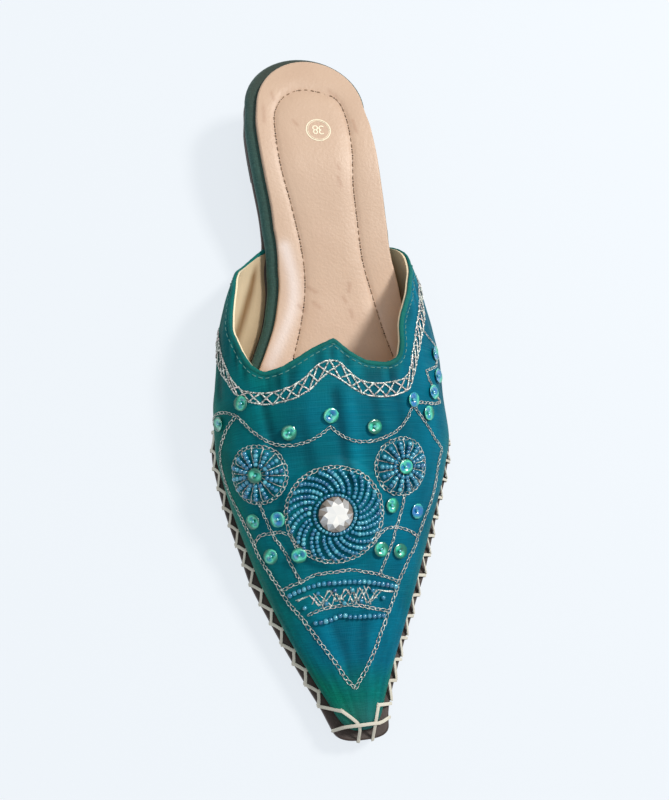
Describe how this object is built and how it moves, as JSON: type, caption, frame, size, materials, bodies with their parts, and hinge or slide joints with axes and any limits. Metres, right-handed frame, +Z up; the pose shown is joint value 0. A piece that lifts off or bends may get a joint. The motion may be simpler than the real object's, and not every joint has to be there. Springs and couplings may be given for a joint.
{
  "type": "mule",
  "caption": "Left mule with a pointed toe, an open back and a low covered heel, its silk upper trimmed with beadwork, couched thread and a whipped lace",
  "frame": {"origin": "on the ground, in the middle of the bounding box seen from above", "axes": "the shoe is as long as the row's Y axis, heel to +Y and toe to -Y; +X is the outer side of the left foot; +Z is up and the shoe stands on z = 0"},
  "size_m": [0.094, 0.2634, 0.0484],
  "materials": {
    "outsole": "smooth waxed sole leather",
    "footbed": "tightly wrapped matt cloth",
    "insole_sock": "smooth lining leather, softly shiny",
    "heel": "tightly wrapped matt cloth",
    "top_lift": "matt moulded rubber",
    "upper": "shot silk with a soft sheen",
    "centre_stone": "clear faceted stone over foil"
  },
  "bodies": {
    "root": {"outsole": "outsole", "footbed": "footbed", "insole_sock": "insole_sock", "heel": "heel", "top_lift": "top_lift", "upper": "upper", "centre_stone": "centre_stone"}
  },
  "joints": []
}
